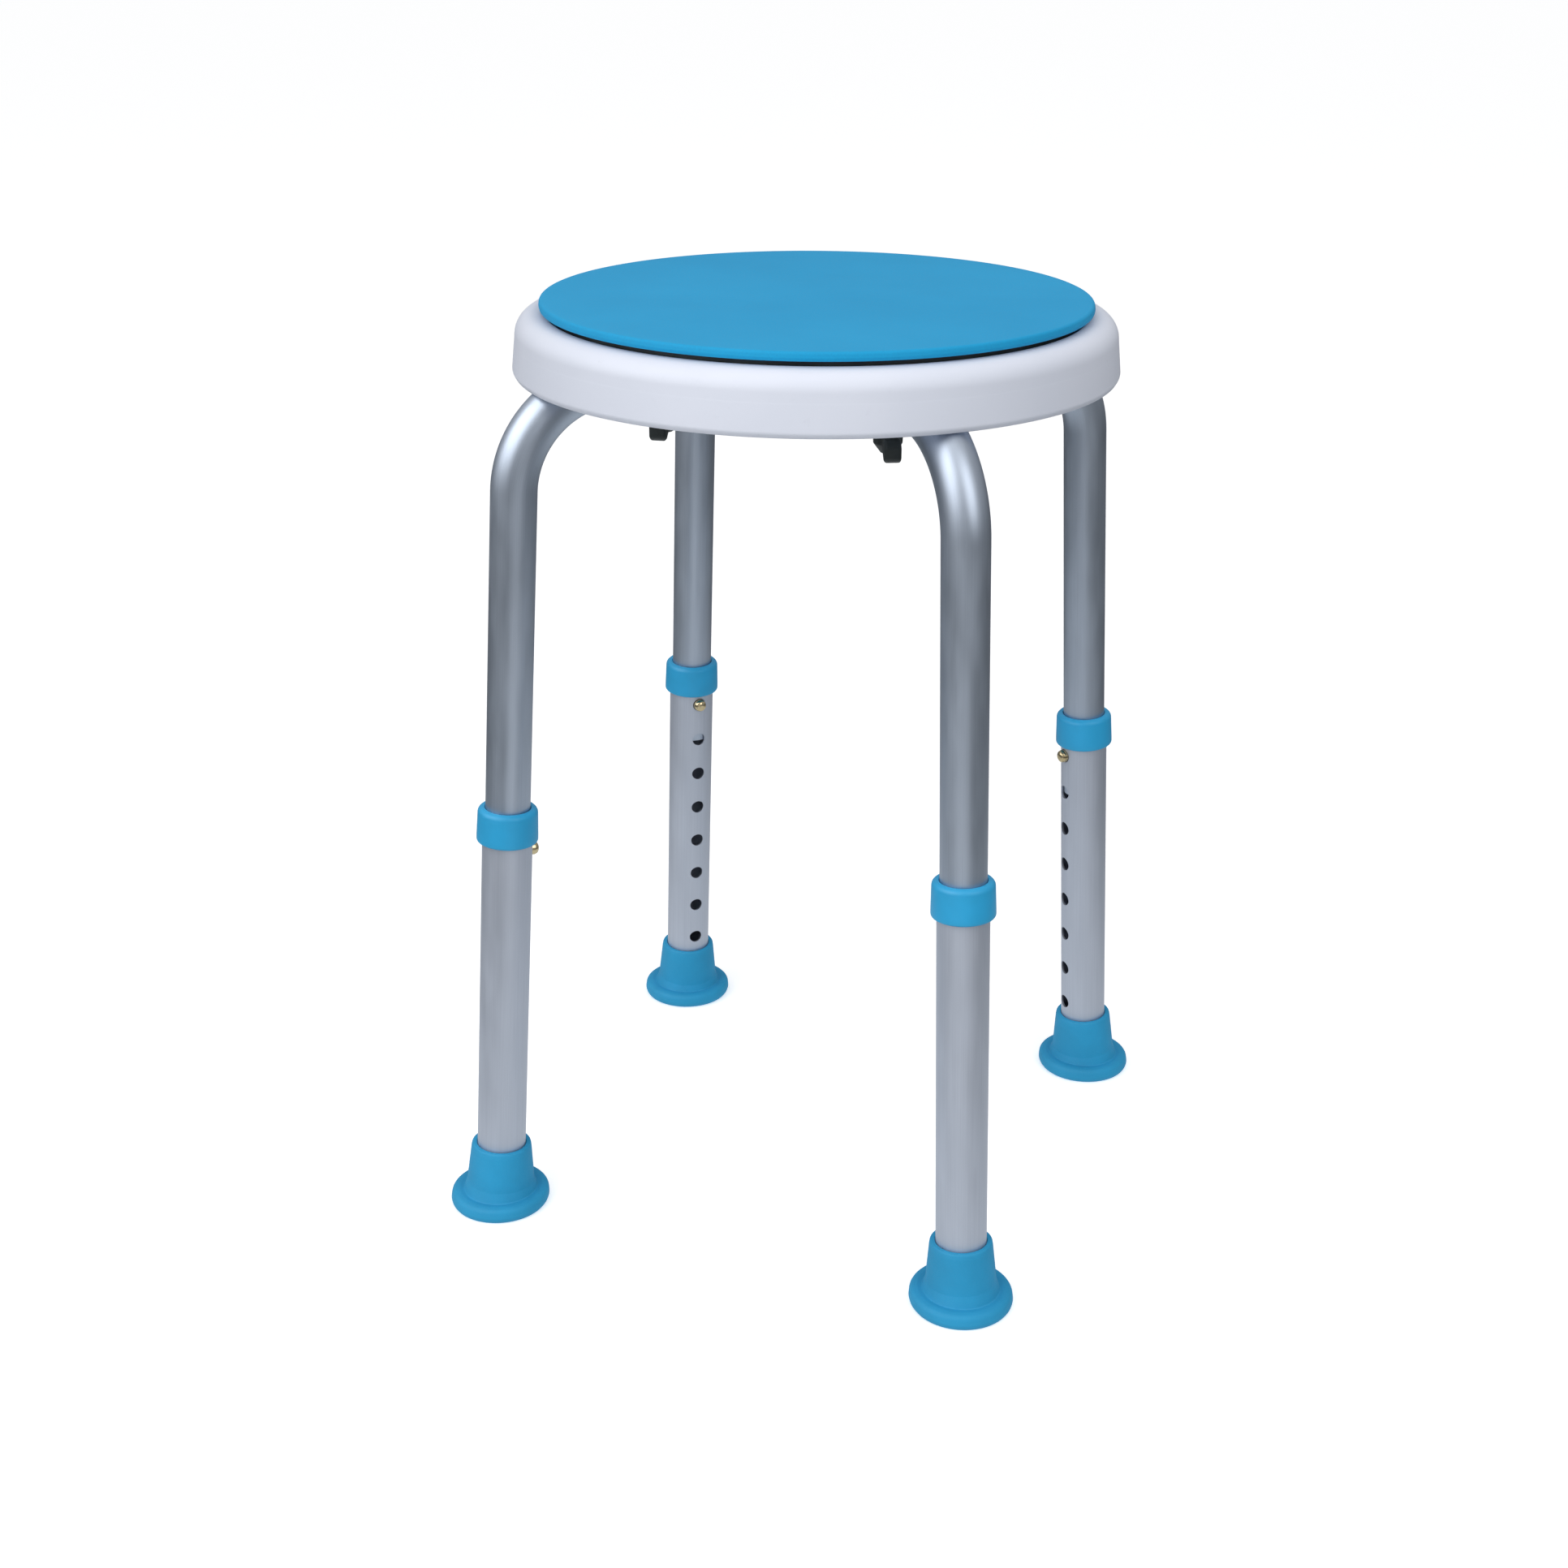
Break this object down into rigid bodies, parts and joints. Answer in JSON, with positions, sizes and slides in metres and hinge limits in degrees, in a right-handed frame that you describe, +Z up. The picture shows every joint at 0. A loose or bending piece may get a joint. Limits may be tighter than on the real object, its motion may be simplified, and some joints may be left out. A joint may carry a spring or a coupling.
{
  "type": "swivel shower stool",
  "caption": "Round backless shower stool: padded turning top on a ring bearing, moulded seat on crossed U-tubes, sliding legs locked by snap buttons, rubber tips.",
  "frame": {"origin": "on the floor, at the middle of the four feet, under the swivel axis", "axes": "+Z up along the swivel axis, -Y to the front, legs on the diagonals"},
  "size_m": [0.3484, 0.3484, 0.5285],
  "materials": {
    "pad_foam": "matte closed-cell foam, fine-grained",
    "seat_plastic": "satin moulded polyethylene, fine-grained",
    "disc_plastic": "dark moulded plastic",
    "upper_aluminium": "satin anodised",
    "lower_aluminium": "matte anodised",
    "blue_collar": "matte moulded plastic",
    "blue_rubber": "matte rubber",
    "black_plastic": "moulded, slight sheen",
    "button_brass": "polished",
    "steel": "zinc plated"
  },
  "bodies": {
    "frame": {"seat_base": "seat_plastic", "frame_tube_a": "upper_aluminium", "frame_tube_b": "upper_aluminium", "outer_race": "steel", "race_screw_1": "steel", "race_screw_2": "steel", "race_screw_3": "steel", "race_screw_4": "steel", "seat_bolt_front_left": "steel", "seat_bolt_front_right": "steel", "seat_bolt_rear_right": "steel", "seat_bolt_rear_left": "steel", "knob_washer_front_left": "steel", "knob_washer_front_right": "steel", "knob_washer_rear_right": "steel", "knob_washer_rear_left": "steel", "centre_bolt": "steel", "centre_washer": "steel", "centre_nut": "steel", "button_spring_front_left": "steel", "button_spring_front_right": "steel", "button_spring_rear_right": "steel", "button_spring_rear_left": "steel"},
    "turntable": {"seat_pad": "pad_foam", "swivel_disc": "disc_plastic", "inner_race": "steel", "disc_screw_1": "steel", "disc_screw_2": "steel", "disc_screw_3": "steel", "disc_screw_4": "steel"},
    "bearing_cage": {"ball_cage": "steel"},
    "front_left_leg": {"leg_tube_front_left": "lower_aluminium", "leg_collar_front_left": "blue_collar", "foot_tip_front_left": "blue_rubber", "foot_washer_front_left": "steel"},
    "front_left_button": {"snap_button_front_left": "button_brass"},
    "front_left_knob": {"wing_knob_front_left": "black_plastic"},
    "front_right_leg": {"leg_tube_front_right": "lower_aluminium", "leg_collar_front_right": "blue_collar", "foot_tip_front_right": "blue_rubber", "foot_washer_front_right": "steel"},
    "front_right_button": {"snap_button_front_right": "button_brass"},
    "front_right_knob": {"wing_knob_front_right": "black_plastic"},
    "rear_right_leg": {"leg_tube_rear_right": "lower_aluminium", "leg_collar_rear_right": "blue_collar", "foot_tip_rear_right": "blue_rubber", "foot_washer_rear_right": "steel"},
    "rear_right_button": {"snap_button_rear_right": "button_brass"},
    "rear_right_knob": {"wing_knob_rear_right": "black_plastic"},
    "rear_left_leg": {"leg_tube_rear_left": "lower_aluminium", "leg_collar_rear_left": "blue_collar", "foot_tip_rear_left": "blue_rubber", "foot_washer_rear_left": "steel"},
    "rear_left_button": {"snap_button_rear_left": "button_brass"},
    "rear_left_knob": {"wing_knob_rear_left": "black_plastic"}
  },
  "joints": [
    {"name": "seat_swivel", "type": "hinge", "parent": "frame", "child": "turntable", "pos_m": [0, 0, 0.5131], "axis": [0, 0, 1], "continuous": true},
    {"name": "cage_turn", "type": "hinge", "parent": "frame", "child": "bearing_cage", "pos_m": [0, 0, 0.5131], "axis": [0, 0, 1], "continuous": true},
    {"name": "leg_slide_front_left", "type": "slide", "parent": "frame", "child": "front_left_leg", "axis": [0.0438, 0.0438, 0.9981], "range_m": [0, 0.1778], "deforming": ["snap_button_front_left"]},
    {"name": "button_press_front_left", "type": "slide", "parent": "frame", "child": "front_left_button", "axis": [-0.7058, -0.7058, 0.0619], "range_m": [0, 0.0062], "stiffness_N_per_m": 2500, "springref_m": -0.002, "deforming": ["button_spring_front_left"]},
    {"name": "knob_turn_front_left", "type": "hinge", "parent": "frame", "child": "front_left_knob", "pos_m": [-0.06364, -0.06364, 0.468], "axis": [0, 0, -1], "range_deg": [0, 360]},
    {"name": "leg_slide_front_right", "type": "slide", "parent": "frame", "child": "front_right_leg", "axis": [-0.0438, 0.0438, 0.9981], "range_m": [0, 0.1778], "deforming": ["snap_button_front_right"]},
    {"name": "button_press_front_right", "type": "slide", "parent": "frame", "child": "front_right_button", "axis": [0.7058, -0.7058, 0.0619], "range_m": [0, 0.0062], "stiffness_N_per_m": 2500, "springref_m": -0.002, "deforming": ["button_spring_front_right"]},
    {"name": "knob_turn_front_right", "type": "hinge", "parent": "frame", "child": "front_right_knob", "pos_m": [0.06364, -0.06364, 0.468], "axis": [0, 0, -1], "range_deg": [0, 360]},
    {"name": "leg_slide_rear_right", "type": "slide", "parent": "frame", "child": "rear_right_leg", "axis": [-0.0438, -0.0438, 0.9981], "range_m": [0, 0.1778], "deforming": ["snap_button_rear_right"]},
    {"name": "button_press_rear_right", "type": "slide", "parent": "frame", "child": "rear_right_button", "axis": [0.7058, 0.7058, 0.0619], "range_m": [0, 0.0062], "stiffness_N_per_m": 2500, "springref_m": -0.002, "deforming": ["button_spring_rear_right"]},
    {"name": "knob_turn_rear_right", "type": "hinge", "parent": "frame", "child": "rear_right_knob", "pos_m": [0.06364, 0.06364, 0.468], "axis": [0, 0, -1], "range_deg": [0, 360]},
    {"name": "leg_slide_rear_left", "type": "slide", "parent": "frame", "child": "rear_left_leg", "axis": [0.0438, -0.0438, 0.9981], "range_m": [0, 0.1778], "deforming": ["snap_button_rear_left"]},
    {"name": "button_press_rear_left", "type": "slide", "parent": "frame", "child": "rear_left_button", "axis": [-0.7058, 0.7058, 0.0619], "range_m": [0, 0.0062], "stiffness_N_per_m": 2500, "springref_m": -0.002, "deforming": ["button_spring_rear_left"]},
    {"name": "knob_turn_rear_left", "type": "hinge", "parent": "frame", "child": "rear_left_knob", "pos_m": [-0.06364, 0.06364, 0.468], "axis": [0, 0, -1], "range_deg": [0, 360]}
  ],
  "couplings": [
    {"joint": "cage_turn", "follows": "seat_swivel", "ratio": 0.5}
  ]
}
